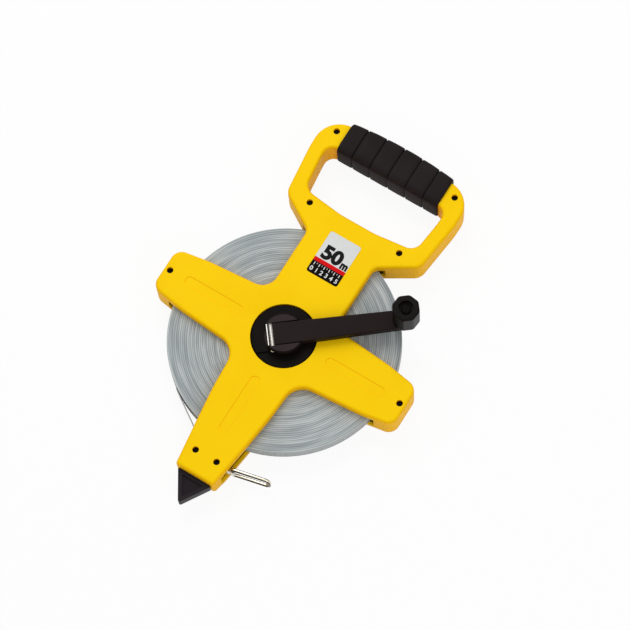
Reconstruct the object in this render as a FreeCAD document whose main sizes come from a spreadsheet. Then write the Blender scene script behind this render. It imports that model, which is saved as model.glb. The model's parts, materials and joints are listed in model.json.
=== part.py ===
import FreeCAD, Part
import math
import os
import Sketcher

# Surveyor tape reel: an open cross-shaped plastic frame in two halves, a drum of
# steel tape, a folding winding crank and a closed handle.  The frame lies on its
# back: +Z is the crank side, +Y points to the handle, and the reel axis is Z.

os.makedirs("parts", exist_ok=True)
doc = FreeCAD.newDocument("tape_reel")
sizes = doc.addObject("Spreadsheet::Sheet", "Sizes")

DRIVING = {
    # frame
    "frame_depth": 30.0, "skin": 2.5, "edge_round": 3.0,
    "arm_reach": 120.3, "arm_root": 29.2, "arm_tip": 19.7, "neck_half": 33.6,
    "leg_reach": 141.5, "leg_root": 30.2, "leg_tip": 18.6,
    "slope_start": 121.0, "slope_rise": 10.5,
    "handle_half": 73.6, "handle_top": 192.6, "handle_foot": 91.5,
    "opening_half": 59.2, "opening_foot": 118.8, "opening_top": 168.5,
    "hub_hole": 28.7, "arm_screw": 114.6, "leg_screw_x": 10.4, "leg_screw_y": 122.9,
    "low_screw_x": 44.9, "low_screw_y": 114.0, "top_screw_x": 59.4, "top_screw_y": 181.7,
    "boss_radius": 4.6, "screw_head": 2.8, "screw_shank": 1.4, "screw_sunk": 3.2,
    "channel_start": 42.0, "channel_end": 99.0, "channel_half": 4.5, "channel_deep": 0.6,
    # reel
    "tape_width": 13.0, "tape_outer": 100.0, "tape_thick": 0.5, "drum_radius": 42.0,
    "tape_side_gap": 1.0, "rim_gap": 5.0, "spindle_radius": 5.0, "run_gap": 0.05,
    # crank
    "crank_angle": 38.4, "pivot_offset": 10.3, "knob_offset": 104.4, "hub_gap": 0.5,
    "boss_top": 18.0, "crank_thick": 8.0, "crank_lift": 1.0, "crank_root": 9.9,
    "crank_end": 7.8, "side_gap": 0.4, "pin_radius": 1.9, "knob_tall": 26.0,
    "knob_half": 11.3, "stud_radius": 3.0,
    # grip, tip and label
    "grip_half": 50.5, "grip_wall": 3.4, "grip_under": 2.0, "grip_swell": 3.2, "grip_proud": 3.0,
    "grip_pitch": 17.8, "groove_wide": 1.7, "groove_deep": 1.5,
    "tip_reach": 26.5, "tip_half": 16.6, "tip_thick": 10.0, "tip_rim": 3.6, "tip_level": 17.0,
    "label_wide": 30.6, "label_tall": 41.5, "label_low": 60.0, "label_thick": 0.4,
    # tape end
    "roller_radius": 3.5, "ring_long": 34.0, "ring_wide": 18.4, "wire_radius": 1.5,
    "ring_angle": 10.7, "mouth_x": 23.6,
}
for row, (alias, number) in enumerate(DRIVING.items(), start=1):
    sizes.set("A%d" % row, alias)
    sizes.set("B%d" % row, repr(number))
    sizes.setAlias("B%d" % row, alias)
doc.recompute()

SUBPARTS = []


def size(alias):
    return float(sizes.get(alias))


def vec(x, y, z=0.0):
    return FreeCAD.Vector(x, y, z)


def bound(text):
    """Turn 'frame_depth / 2' into an expression on the sheet."""
    for alias in sorted(DRIVING, key=len, reverse=True):
        text = text.replace("{" + alias + "}", "Sizes." + alias)
    return text


def new_body(label, listed=True):
    body = doc.addObject("PartDesign::Body", label)
    body.Label = label
    if listed:
        SUBPARTS.append(body)
    return body


def plane(body, role):
    return next(f for f in body.Origin.OriginFeatures if f.Role == role)


def sketch_on(body, geometry, height="0", role="XY_Plane"):
    sketch = body.newObject("Sketcher::SketchObject", body.Label + "_sketch")
    sketch.AttachmentSupport = [(plane(body, role), "")]
    sketch.MapMode = "FlatFace"
    sketch.setExpression(".AttachmentOffset.Base.z", bound(height))
    sketch.addGeometry(list(geometry), False)
    return sketch


def pad(body, geometry, height, length):
    feature = body.newObject("PartDesign::Pad", body.Label + "_pad")
    feature.Profile = sketch_on(body, geometry, height)
    feature.setExpression("Length", bound(length))
    return feature


def pocket(body, geometry, height, depth):
    """Cut downwards (-Z) from the given height."""
    feature = body.newObject("PartDesign::Pocket", body.Label + "_pocket")
    feature.Profile = sketch_on(body, geometry, height)
    feature.setExpression("Length", bound(depth))
    return feature


def turned(body, profile):
    """Revolve a closed (radius, height) outline about the body's Z axis."""
    sketch = sketch_on(body, loop([(r, z, 0) for r, z in profile]), role="XZ_Plane")
    feature = body.newObject("PartDesign::Revolution", body.Label + "_turned")
    feature.Profile = sketch
    feature.ReferenceAxis = (sketch, ["V_Axis"])
    feature.Angle = 360
    return feature


def circle(x, y, radius):
    return Part.Circle(vec(x, y), vec(0, 0, 1), radius)


def loop(corners):
    """Closed outline through corners (x, y, rounding): straight runs and arcs."""
    joints = []
    count = len(corners)
    for i, (x, y, rounding) in enumerate(corners):
        here = vec(x, y)
        before = vec(*corners[i - 1][:2]) - here
        after = vec(*corners[(i + 1) % count][:2]) - here
        before.normalize()
        after.normalize()
        half = before.getAngle(after) / 2
        reach = rounding / math.tan(half) if rounding else 0.0
        start, end = here + before * reach, here + after * reach
        if rounding:
            bisector = (before + after).normalize()
            middle = here + bisector * (rounding / math.sin(half) - rounding)
            joints.append((start, middle, end))
        else:
            joints.append((here, None, here))
    pieces = []
    for i, (start, middle, end) in enumerate(joints):
        if middle is not None:
            pieces.append(Part.Arc(start, middle, end))
        following = joints[(i + 1) % count][0]
        if (following - end).Length > 1e-6:
            pieces.append(Part.LineSegment(end, following))
    return pieces


def mirrored(half):
    """Right half outline, top to bottom, closed with its mirror image."""
    return half + [(-x, y, r) for x, y, r in reversed(half)]


def inset(geometry, distance):
    """The outline moved inwards (negative) or outwards by a distance."""
    wire = Part.Wire(Part.__sortEdges__([g.toShape() for g in geometry]))
    moved = wire.makeOffset2D(distance, 2)
    result = []
    for edge in moved.Edges:
        ends = [v.Point for v in edge.Vertexes]
        middle = edge.valueAt((edge.FirstParameter + edge.LastParameter) / 2)
        if isinstance(edge.Curve, Part.Circle) and len(ends) == 2:
            result.append(Part.Arc(ends[0], middle, ends[1]))
        elif isinstance(edge.Curve, Part.Circle):
            result.append(circle(edge.Curve.Center.x, edge.Curve.Center.y, edge.Curve.Radius))
        else:
            result.append(Part.LineSegment(ends[0], ends[1]))
    return result


def round_edges(body, radius, wanted):
    """Fillet every edge of the body's tip for which wanted(edge) is true."""
    doc.recompute()
    tip = body.Tip
    names = ["Edge%d" % n for n, e in enumerate(tip.Shape.Edges, start=1) if wanted(e)]
    feature = body.newObject("PartDesign::Fillet", body.Label + "_round")
    feature.Base = (tip, names)
    feature.setExpression("Radius", bound(radius))
    return feature


def lies_at(height):
    return lambda e: all(abs(v.Z - height) < 1e-4 for v in e.Vertexes) and abs(
        e.valueAt(e.FirstParameter).z - height) < 1e-4


DEPTH = size("frame_depth")
MIDDLE = DEPTH / 2
TAPE_LOW = MIDDLE - size("tape_width") / 2
TAPE_HIGH = MIDDLE + size("tape_width") / 2
WELL_RADIUS = size("tape_outer") + size("rim_gap")
SCREWS = (
    [(side * size("arm_screw"), 0.0) for side in (-1, 1)]
    + [(side * size("leg_screw_x"), -size("leg_screw_y")) for side in (-1, 1)]
    + [(side * size("low_screw_x"), size("low_screw_y")) for side in (-1, 1)]
    + [(side * size("top_screw_x"), size("top_screw_y")) for side in (-1, 1)]
)


def polar(radius, degrees):
    turn = math.radians(degrees)
    return radius * math.cos(turn), radius * math.sin(turn)


FIT = 0.1                     # side clearance of pieces that are fixed together
PRESS = 0.03                  # clearance of a pressed shaft
BITE = 1.0                    # overlap of a feature with the body it joins or cuts
CLEAR = 6.0                   # how far a cut runs past the body
TONGUE_DEEP, TONGUE_STEP = 9.5, 4.0
FLOOR_THICK = 6.0             # solid plastic behind the tip's tongue
LABEL_ROUND = 2.0
SCREW_DEEP = 8.0
SOFT_GAP = 0.3                # between the tape's lead and what turns beside it
SCREW_HEAD_TALL = 2.0
WELL_TOP = "{frame_depth} / 2 + {tape_width} / 2 + {tape_side_gap}"
WELL_TOP_Z = TAPE_HIGH + size("tape_side_gap")
WELL_LOW_Z = TAPE_LOW - size("tape_side_gap")
SPINDLE_BOSS, SPINDLE_HEAD, HEAD_TALL, CAP_RADIUS = 21.0, 9.0, 2.0, 17.0
BOSS_PROUD = 0.4              # spindle boss above the well's floor
BUSH_RADIUS = size("spindle_radius") + 2
WEB_LOW, WEB_HIGH = MIDDLE - 3, MIDDLE + 3
WASHER_LOW, WASHER_THICK = TAPE_HIGH + 0.3, 1.0
SCREW_CORE = 2.0
HUB_BOLT_CIRCLE, HUB_SCREW, HUB_SCREW_GRIP = 21.0, 1.5, 6.0
HUB_BOLTS = [polar(HUB_BOLT_CIRCLE, 90 * k + size("crank_angle")) for k in range(4)]
HUB_FACE = DEPTH - 1.0
CRANK_LOW = DEPTH + size("crank_lift")
CRANK_HIGH = CRANK_LOW + size("crank_thick")
FLOOR = CRANK_LOW - 0.4       # hub surface that the crank lies over
PIVOT_X, PIVOT_Z = -size("pivot_offset"), (CRANK_LOW + CRANK_HIGH) / 2
HEEL = PIVOT_X - 2.75         # end of the arm behind the pin
SPRING_THICK, SPRING_LIFT = 0.8, 1.0
PIN_SHORT, STUD_FOOT = 1.5, 5.0
HEEL_SWEEP = math.hypot(PIVOT_X - HEEL + SPRING_THICK, size("crank_thick") / 2)
KNOB_LOW = CRANK_HIGH + 0.4
KNOB_TOP, KNOB_RECESS = KNOB_LOW + size("knob_tall"), 3.4
KNOB_AT = polar(size("knob_offset"), size("crank_angle"))
SPACER_RADIUS = 2.2
EYE_RADIUS, EYE_TALL = 2.5, 9.0
CLIP_LONG, CLIP_HALF = 7.0, 0.9
TIP_RECESS = 1.5
GRIP_CORNER = 7.0


# ---------------------------------------------------------------- frame halves
def frame_outline():
    arm, root, tip = size("arm_reach"), size("arm_root"), size("arm_tip")
    leg, leg_root, leg_tip = size("leg_reach"), size("leg_root"), size("leg_tip")
    top, half, foot = size("handle_top"), size("handle_half"), size("handle_foot")
    neck = size("neck_half")
    barrel, draw_in, lift = 0.8, 6.2, 20.5       # the handle's side, down to its lower corner
    bend, taper = arm * 0.75, root - 4.6         # where the arm starts to narrow
    hip, knee, spread = leg * 0.48, leg * 0.71, 5.4
    top_round, side_round, low_round, neck_round = 24, 70, 12, 8
    pit_round, swell, tip_round = 14, 120, 10
    leg_round, leg_swell, foot_round = 17, 150, 2.5
    return loop(mirrored([
        (half, top, top_round),
        (half - barrel, top - top_round - tip_round, side_round),
        (half - draw_in, foot + lift, low_round),
        (neck, foot, neck_round),
        (neck, root, pit_round),
        (bend, taper, swell),
        (arm, tip, tip_round),
        (arm, -tip, tip_round),
        (bend, -taper, swell),
        (leg_root, -root, leg_round),
        (leg_root - 2.2, -hip, leg_swell),
        (leg_tip + spread, -knee, leg_swell),
        (leg_tip, -leg, foot_round),
    ]))


def handle_opening():
    half, foot, top = size("opening_half"), size("opening_foot"), size("opening_top")
    barrel, draw_in, sag, swell_at = 0.6, 4.2, 4.5, 17
    top_round, low_round, swell = 9, 11, 60
    return loop(mirrored([
        (half, top, top_round),
        (half - barrel, (foot + top) / 2 + low_round, swell),
        (half - draw_in, foot + sag, low_round),
        (swell_at, foot, swell),
    ]))


def leg_block():
    """Solid end of the leg, which grips the ground tip."""
    half, low = size("leg_tip") - BITE, -size("leg_reach") + BITE
    high = -size("leg_reach") + TONGUE_DEEP + 2 * size("skin") + FLOOR_THICK
    return loop([(-half, low, 0), (half, low, 0), (half, high, 0), (-half, high, 0)])


def leg_throat():
    """The tape's way through the leg, below the well: open at both sides."""
    wide, start = size("leg_root") + CLEAR, -WELL_RADIUS * 0.75
    bottom = -size("leg_reach") + TONGUE_DEEP
    return loop([(-wide, start, 0), (wide, start, 0), (wide, bottom, 0), (-wide, bottom, 0)])


def stadium(start, end, half, angle):
    """Slot outline along a ray from the reel axis."""
    turn = FreeCAD.Rotation(vec(0, 0, 1), angle)
    corners = [(start, -half), (end, -half), (end, half), (start, half)]
    placed = [turn.multVec(vec(x, y)) for x, y in corners]
    nearly_round = half * 0.98
    return loop([(p.x, p.y, nearly_round) for p in placed])


def bar_block(margin, half_long):
    """Plan of the handle's top bar, which carries the grip."""
    low, high = size("opening_top") + margin, size("handle_top") - margin
    return loop([(-half_long, low, 0), (half_long, low, 0),
                 (half_long, high, 0), (-half_long, high, 0)])


def frame_half(label, front):
    """One moulded half, face up: skin, side walls, screw bosses, well and bar."""
    outline, opening = frame_outline(), handle_opening()
    skin = size("skin")
    body = new_body(label)
    pad(body, outline + opening, "{frame_depth} / 2", "{frame_depth} / 2")
    round_edges(body, "{edge_round}", lies_at(DEPTH))
    hollow = inset(outline, -skin) + inset(opening, skin)
    pocket(body, hollow, "{frame_depth} - {skin}", "{frame_depth}")
    bar_reach = size("grip_half") + 2 * skin
    pad(body, bar_block(skin / 2, bar_reach), "{frame_depth} / 2",
        "{frame_depth} / 2 - {grip_wall}")
    pocket(body, bar_block(skin, bar_reach - 2 * skin),
           "{frame_depth} - {grip_wall} - {skin}", "{frame_depth}")
    seat = size("grip_half") + FIT
    low, high = size("opening_top") - CLEAR, size("handle_top") + CLEAR
    pocket(body, loop([(-seat, low, 0), (seat, low, 0), (seat, high, 0), (-seat, high, 0)]),
           "{frame_depth}", "{grip_wall}")
    for x, y in SCREWS:
        pad(body, [circle(x, y, size("boss_radius"))],
            "{frame_depth} / 2", "{frame_depth} / 2 - {skin} / 2")
    pad(body, leg_block(), "{frame_depth} / 2", "{frame_depth} / 2 - {skin} / 2")
    pocket(body, [circle(0, 0, WELL_RADIUS)], WELL_TOP, "{tape_width}")
    pocket(body, leg_throat(), WELL_TOP, "{tape_width}")
    half = size("tip_half") - TONGUE_STEP + FIT
    low, high = -size("leg_reach") - CLEAR, -size("leg_reach") + TONGUE_DEEP
    pocket(body, loop([(-half, low, 0), (half, low, 0), (half, high, 0), (-half, high, 0)]),
           ("{tip_level}" if front else "{frame_depth} - {tip_level}")
           + " + {tip_thick} / 2 + " + repr(FIT / 2), "{frame_depth}")
    for angle in (0, 180, 270):
        pocket(body, stadium(size("channel_start"), size("channel_end"),
                             size("channel_half"), angle), "{frame_depth}", "{channel_deep}")
    holes = [circle(x, y, size("screw_shank") + FIT) for x, y in SCREWS]
    if front:
        pocket(body, holes, "{frame_depth}", "{frame_depth}")
        pocket(body, [circle(x, y, size("screw_head") + FIT) for x, y in SCREWS],
               "{frame_depth}", "{screw_sunk} + " + repr(SCREW_HEAD_TALL))
    else:
        pocket(body, holes, "{frame_depth} - 1.5 * {skin}", "{frame_depth}")
        slope_leg(body)
    return body


def slope_leg(body):
    """The leg's back rises towards the thinner ground tip."""
    start, end, rise = -size("slope_start"), -size("leg_reach") - CLEAR, size("slope_rise")
    wedge = body.newObject("PartDesign::Pocket", "leg_slope")
    wedge.Profile = sketch_on(body, loop([
        (start, DEPTH + CLEAR, 0), (start, DEPTH, 0), (end, DEPTH - rise, 0),
        (end, DEPTH + CLEAR, 0)]), role="YZ_Plane")
    wedge.Midplane = True
    wedge.setExpression("Length", bound("{leg_root} * 3"))


def make_front_shell():
    body = frame_half("front_frame_shell", front=True)
    pad(body, [circle(0, 0, size("hub_hole") + size("skin")), circle(0, 0, size("hub_hole"))],
        WELL_TOP, "{frame_depth} / 2 - {tape_width} / 2 - {tape_side_gap} - {skin} / 2")
    pocket(body, [circle(0, 0, size("hub_hole"))], "{frame_depth}", "{frame_depth}")
    half = size("label_wide") / 2
    low, high = size("label_low"), size("label_low") + size("label_tall")
    pocket(body, loop([(x, y, LABEL_ROUND) for x, y in (
        (-half, low), (half, low), (half, high), (-half, high))]),
        "{frame_depth}", "{label_thick} / 2")


def make_rear_shell():
    """The same half turned over; it carries the spindle in a central boss."""
    body = frame_half("rear_frame_shell", front=False)
    pad(body, [circle(0, 0, SPINDLE_BOSS)], WELL_TOP + " - " + repr(BOSS_PROUD),
        "{frame_depth} / 2 - {tape_width} / 2 - {tape_side_gap} - {skin} / 2 + " + repr(BOSS_PROUD))
    pocket(body, [circle(0, 0, size("spindle_radius") + PRESS)], "{frame_depth}", "{frame_depth}")
    pocket(body, [circle(0, 0, CAP_RADIUS)], "{frame_depth}", "{skin}")
    pocket(body, [circle(0, 0, SPINDLE_HEAD + FIT)], "{frame_depth} - {skin}", repr(HEAD_TALL))
    body.Placement = FreeCAD.Placement(vec(0, 0, DEPTH), FreeCAD.Rotation(vec(0, 1, 0), 180))


# ---------------------------------------------------------------- frame trim
def make_grip():
    """Rubber sleeve round the handle's bar: swollen top and five grooves."""
    body = new_body("handle_grip")
    half, wall, proud = size("grip_half"), size("grip_wall"), size("grip_proud")
    low = size("opening_top") - size("grip_under")
    end, swell = size("handle_top") + wall, size("grip_swell")
    plan = [Part.LineSegment(vec(-half, low), vec(half, low)),
            Part.LineSegment(vec(half, low), vec(half, end)),
            Part.Arc(vec(half, end), vec(0, end + swell), vec(-half, end)),
            Part.LineSegment(vec(-half, end), vec(-half, low))]
    pad(body, plan, "0", "{frame_depth} + {grip_proud}")
    top = DEPTH + proud
    round_edges(body, repr(GRIP_CORNER + 1), lambda e: len(e.Vertexes) == 2 and all(
        abs(v.Z) < 1e-4 or abs(v.Z - top) < 1e-4 for v in e.Vertexes)
        and abs(e.Vertexes[0].X - e.Vertexes[1].X) > 1)
    bore = body.newObject("PartDesign::Pocket", "grip_bore")
    y0, y1 = size("opening_top") - FIT, size("handle_top") + FIT
    z0, z1 = wall - FIT, DEPTH - wall + FIT
    bore.Profile = sketch_on(body, loop([(y0, z0, 0), (y1, z0, 0), (y1, z1, 0), (y0, z1, 0)]),
                             role="YZ_Plane")
    bore.Midplane = True
    bore.setExpression("Length", bound("{grip_half} * 2 + 2"))
    reach = 20                    # wider than the grip on every side
    for step in range(-2, 3):
        x = step * size("grip_pitch")
        crest = end + swell * (1 - (x / half) ** 2) - size("groove_deep")
        inner = size("groove_deep")
        foot = low + inner / 2
        ring = loop([(foot, inner, GRIP_CORNER), (crest, inner, GRIP_CORNER),
                     (crest, top - inner, GRIP_CORNER), (foot, top - inner, GRIP_CORNER)])
        outer = loop([(low - reach, -reach, 0), (crest + reach, -reach, 0),
                      (crest + reach, top + reach, 0), (low - reach, top + reach, 0)])
        groove = body.newObject("PartDesign::Pocket", "grip_groove")
        groove.Profile = sketch_on(body, outer + ring, repr(x), "YZ_Plane")
        groove.Midplane = True
        groove.setExpression("Length", bound("{groove_wide}"))


def make_tip():
    """Wedge that is pushed into the ground; its tongue is held in the leg."""
    body = new_body("ground_tip")
    half, root = size("tip_half"), -size("leg_reach")
    point = root - size("tip_reach")
    tongue, deep = half - TONGUE_STEP, root + TONGUE_DEEP - 1.5
    side_round, point_round = 1.2, 1.6
    side, foot = (half, root - FIT, side_round), (0, point, point_round)
    other = (-half, root - FIT, side_round)
    pad(body, loop([(tongue, deep, 1), (tongue, root - FIT, 0), side, foot, other,
                    (-tongue, root - FIT, 0), (-tongue, deep, 1)]),
        "{tip_level} - {tip_thick} / 2", "{tip_thick}")
    face = inset(loop([side, foot, other]), -size("tip_rim"))
    pocket(body, face, "{tip_level} + {tip_thick} / 2", repr(TIP_RECESS))
    pocket(body, face, "{tip_level} - {tip_thick} / 2 + " + repr(TIP_RECESS), "{tip_thick}")


def make_label():
    body = new_body("length_label")
    half = size("label_wide") / 2 - FIT
    low, high = size("label_low") + FIT, size("label_low") + size("label_tall") - FIT
    pad(body, loop([(x, y, LABEL_ROUND - FIT) for x, y in (
        (-half, low), (half, low), (half, high), (-half, high))]),
        "{frame_depth} - {label_thick} / 2", "{label_thick}")


def rod(name, radius, height, at, base):
    """Part cylinder with its radius and height bound to the sheet."""
    item = doc.addObject("Part::Cylinder", name)
    item.setExpression("Radius", bound(radius))
    item.setExpression("Height", bound(height))
    item.Placement = FreeCAD.Placement(vec(at[0], at[1], base), FreeCAD.Rotation())
    return item


def group(label, members):
    """Several equal solids that share one sub-part."""
    compound = doc.addObject("Part::Compound", label)
    compound.Label = label
    compound.Links = members
    SUBPARTS.append(compound)


def headed_pin(name, at, radii, base, shank_tall, head_tall, head_first):
    """Fused shank and head: the head lies below the shank when head_first."""
    shank_base = base + (head_tall if head_first else 0)
    head_base = base if head_first else base + shank_tall
    shank = rod(name + "_shank", radii[0], repr(shank_tall), at, shank_base)
    head = rod(name + "_head", radii[1], repr(head_tall), at, head_base)
    fused = doc.addObject("Part::MultiFuse", name)
    fused.Shapes = [shank, head]
    return fused


def make_frame_screws():
    tall = DEPTH - size("screw_sunk") - SCREW_HEAD_TALL - 2 * size("skin")
    group("frame_screws", [
        headed_pin("frame_screw", at, ("{screw_shank}", "{screw_head}"),
                   2 * size("skin"), tall, SCREW_HEAD_TALL, head_first=False)
        for at in SCREWS])


# ---------------------------------------------------------------- reel
def make_spindle():
    body = new_body("spindle")
    shank, base = size("spindle_radius"), size("skin")
    hole = WASHER_LOW - SCREW_DEEP - 1
    turned(body, [(0, base), (SPINDLE_HEAD, base), (SPINDLE_HEAD, base + HEAD_TALL),
                  (shank, base + HEAD_TALL), (shank, WASHER_LOW),
                  (SCREW_CORE, WASHER_LOW), (SCREW_CORE, hole), (0, hole)])


def make_spindle_screw():
    body = new_body("spindle_screw")
    low, high = WASHER_LOW - SCREW_DEEP, WASHER_LOW + WASHER_THICK
    head, shoulder, crown = 2 * SCREW_CORE, high + 1.6, high + 2.2
    turned(body, [(0, low), (SCREW_CORE, low), (SCREW_CORE, high), (head, high),
                  (head, shoulder), (head - 0.8, crown), (0, crown)])


def make_washer(label, inner, outer, low, thick):
    body = new_body(label)
    turned(body, [(inner, low), (outer, low), (outer, low + thick), (inner, low + thick)])


def make_rear_cap():
    body = new_body("rear_hub_cap")
    edge, deep, chamfer = CAP_RADIUS - FIT, size("skin"), 1.2
    turned(body, [(0, 0), (edge - chamfer, 0), (edge, chamfer), (edge, deep), (0, deep)])


def make_drum():
    """Turned core with a lightened web; the steel tape is wound on its rim."""
    body = new_body("drum_core")
    rim, bush = size("drum_radius"), BUSH_RADIUS
    inner, boss = rim - 3, bush + 5
    count, hole = 6, 4.5
    turned(body, [(bush, TAPE_LOW), (boss, TAPE_LOW), (boss, WEB_LOW),
                  (inner, WEB_LOW), (inner, TAPE_LOW), (rim, TAPE_LOW),
                  (rim, TAPE_HIGH), (inner, TAPE_HIGH), (inner, WEB_HIGH),
                  (boss, WEB_HIGH), (boss, TAPE_HIGH), (bush, TAPE_HIGH)])
    lightening = [circle(*polar((boss + inner) / 2, 360 / count * k), hole) for k in range(count)]
    pocket(body, lightening, repr(WEB_HIGH), "{tape_width}")
    pocket(body, [circle(*at, HUB_SCREW + FIT) for at in HUB_BOLTS], repr(WEB_HIGH), "{tape_width}")


def make_bush():
    body = new_body("drum_bush")
    inner = size("spindle_radius") + size("run_gap")
    turned(body, [(inner, TAPE_LOW), (BUSH_RADIUS, TAPE_LOW),
                  (BUSH_RADIUS, TAPE_HIGH), (inner, TAPE_HIGH)])


def make_wound_tape():
    body = new_body("wound_tape")
    inner, outer = size("drum_radius"), size("tape_outer")
    turned(body, [(inner, TAPE_LOW), (outer, TAPE_LOW), (outer, TAPE_HIGH), (inner, TAPE_HIGH)])


def make_hub_screws():
    tall, head_tall, head = WEB_HIGH - WEB_LOW + HUB_SCREW_GRIP, 1.6, 2.6
    group("hub_screws", [
        headed_pin("hub_screw", at, (repr(HUB_SCREW), repr(head)), WEB_LOW - head_tall, tall,
                   head_tall, head_first=True)
        for at in HUB_BOLTS])


# ---------------------------------------------------------------- crank
def turn_to_crank(body):
    """Crank pieces are drawn along +X and turned to the crank's rest angle."""
    body.setExpression(".Placement.Rotation.Angle", bound("{crank_angle}"))


def box_plan(x0, x1, half):
    return loop([(x0, -half, 0), (x1, -half, 0), (x1, half, 0), (x0, half, 0)])


def make_hub():
    """Cup that fills the front hole; a slotted boss carries the crank's hinge."""
    body = new_body("crank_hub")
    edge, wall = size("hub_hole") - size("hub_gap"), size("skin")
    top, chamfer, slot = HUB_FACE, 0.8, size("crank_root") + size("side_gap")
    turned(body, [(edge - wall, WEB_HIGH), (edge, WEB_HIGH), (edge, top - chamfer),
                  (edge - chamfer, top), (0, top), (0, top - wall), (edge - wall, top - wall)])
    pad(body, [circle(0, 0, size("boss_top"))], repr(top - wall), repr(CRANK_HIGH - top + wall))
    round_edges(body, "1.2", lies_at(CRANK_HIGH))
    land_half, post = slot + 1.5, 3.4
    land = math.sqrt(edge ** 2 - land_half ** 2) - chamfer / 2
    pad(body, box_plan(-land, land, land_half), repr(top - BITE), repr(FLOOR - top + BITE))
    pocket(body, box_plan(-2 * edge, 2 * edge, slot),
           repr(CRANK_HIGH + BITE), repr(CRANK_HIGH + BITE - FLOOR))
    across(body, [circle(PIVOT_X, PIVOT_Z, HEEL_SWEEP + size("side_gap"))],
           2 * slot, "PartDesign::Pocket")
    for x, y in HUB_BOLTS:
        pad(body, [circle(x, y, post)], repr(WEB_HIGH), repr(top - wall / 2 - WEB_HIGH))
    pocket(body, [circle(x, y, HUB_SCREW) for x, y in HUB_BOLTS],
           repr(WEB_HIGH + HUB_SCREW_GRIP + FIT), repr(HUB_SCREW_GRIP + BITE))
    across(body, [circle(PIVOT_X, PIVOT_Z, size("pin_radius"))],
           2 * size("hub_hole"), "PartDesign::Pocket")
    turn_to_crank(body)


def across(body, geometry, length, kind):
    """Pad or pocket along Y, centred on the crank's plane."""
    feature = body.newObject(kind, body.Label + "_across")
    feature.Profile = sketch_on(body, geometry, role="XZ_Plane")
    feature.Midplane = True
    feature.Length = length
    return feature


def make_pin():
    body = new_body("hinge_pin")
    across(body, [circle(PIVOT_X, PIVOT_Z, size("pin_radius"))],
           2 * math.sqrt(size("boss_top") ** 2 - PIVOT_X ** 2) - PIN_SHORT, "PartDesign::Pad")
    turn_to_crank(body)


def make_spring():
    """Leaf on the arm's heel: it snaps past the pit's edge as the arm folds."""
    body = new_body("crank_spring")
    low = CRANK_LOW + SPRING_LIFT
    pad(body, box_plan(HEEL - SPRING_THICK, HEEL, size("crank_root") - SPRING_LIFT / 2),
        repr(low), repr(CRANK_HIGH - low))
    turn_to_crank(body)


def crank_half_width(x):
    """Half width of the tapered arm at a distance from the reel axis."""
    share = (x - PIVOT_X) / (size("knob_offset") - PIVOT_X)
    return size("crank_root") + (size("crank_end") - size("crank_root")) * share


def make_arm():
    """Moulded arm: ribbed underneath, snapped on the hinge pin at one end."""
    body = new_body("crank_arm")
    half_thick = size("crank_thick") / 2
    nose = size("knob_offset") + size("crank_end")
    root, end = size("crank_root"), size("crank_end")
    nose_round, heel_round, top_round = 6, 0.8, 0.9
    pad(body, loop([(HEEL, -root, 0), (nose, -end, nose_round), (nose, end, nose_round),
                    (HEEL, root, 0)]),
        repr(CRANK_LOW), "{crank_thick}")
    round_edges(body, repr(heel_round), lambda e: all(
        abs(v.X - HEEL) < 1e-4 and abs(v.Z - CRANK_LOW) < 1e-4 for v in e.Vertexes))
    round_edges(body, repr(top_round), lambda e: all(
        abs(v.Z - CRANK_HIGH) < 1e-4 for v in e.Vertexes)
                and abs(e.Vertexes[0].X - e.Vertexes[1].X) > 0.5)
    count, rib, wall, roof = 5, 1.6, 1.8, 2.2
    start, stop = PIVOT_X + half_thick + CLEAR, size("knob_offset") - 9
    pitch = (stop - start) / count
    cells = []
    for k in range(count):
        x0, x1 = start + k * pitch + rib / 2, start + (k + 1) * pitch - rib / 2
        w0, w1 = crank_half_width(x0) - wall, crank_half_width(x1) - wall
        cells += loop([(x0, -w0, 0), (x1, -w1, 0), (x1, w1, 0), (x0, w0, 0)])
    pocket(body, cells, repr(CRANK_HIGH - roof), "{crank_thick}")
    across(body, [circle(PIVOT_X, PIVOT_Z, size("pin_radius") + size("run_gap"))],
           4 * root, "PartDesign::Pocket")
    snap = size("pin_radius") - 2 * FIT
    pocket(body, box_plan(PIVOT_X - snap, PIVOT_X + snap, root + BITE),
           repr(CRANK_HIGH + BITE), repr(CRANK_HIGH + BITE - PIVOT_Z))
    knob_at = size("knob_offset")
    pocket(body, [circle(knob_at, 0, size("stud_radius") + FIT / 2)],
           repr(CRANK_HIGH), "2 * {crank_thick}")
    pocket(body, [circle(knob_at, 0, STUD_FOOT + FIT)], repr(CRANK_LOW + 1.8), "{crank_thick}")
    turn_to_crank(body)


def make_stud():
    body = new_body("knob_stud")
    low, shank, foot_thick = CRANK_LOW + 0.3, size("stud_radius"), 1.5
    head, rim = KNOB_TOP - KNOB_RECESS + 2 * FIT, shank + 1.4
    edge, crown = head + 1.1, head + 1.7
    turned(body, [(0, low), (STUD_FOOT, low), (STUD_FOOT, low + foot_thick),
                  (shank, low + foot_thick), (shank, head), (rim, head), (rim, edge),
                  (rim - 1, crown), (0, crown)])
    body.Placement = FreeCAD.Placement(vec(*KNOB_AT), FreeCAD.Rotation())


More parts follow.
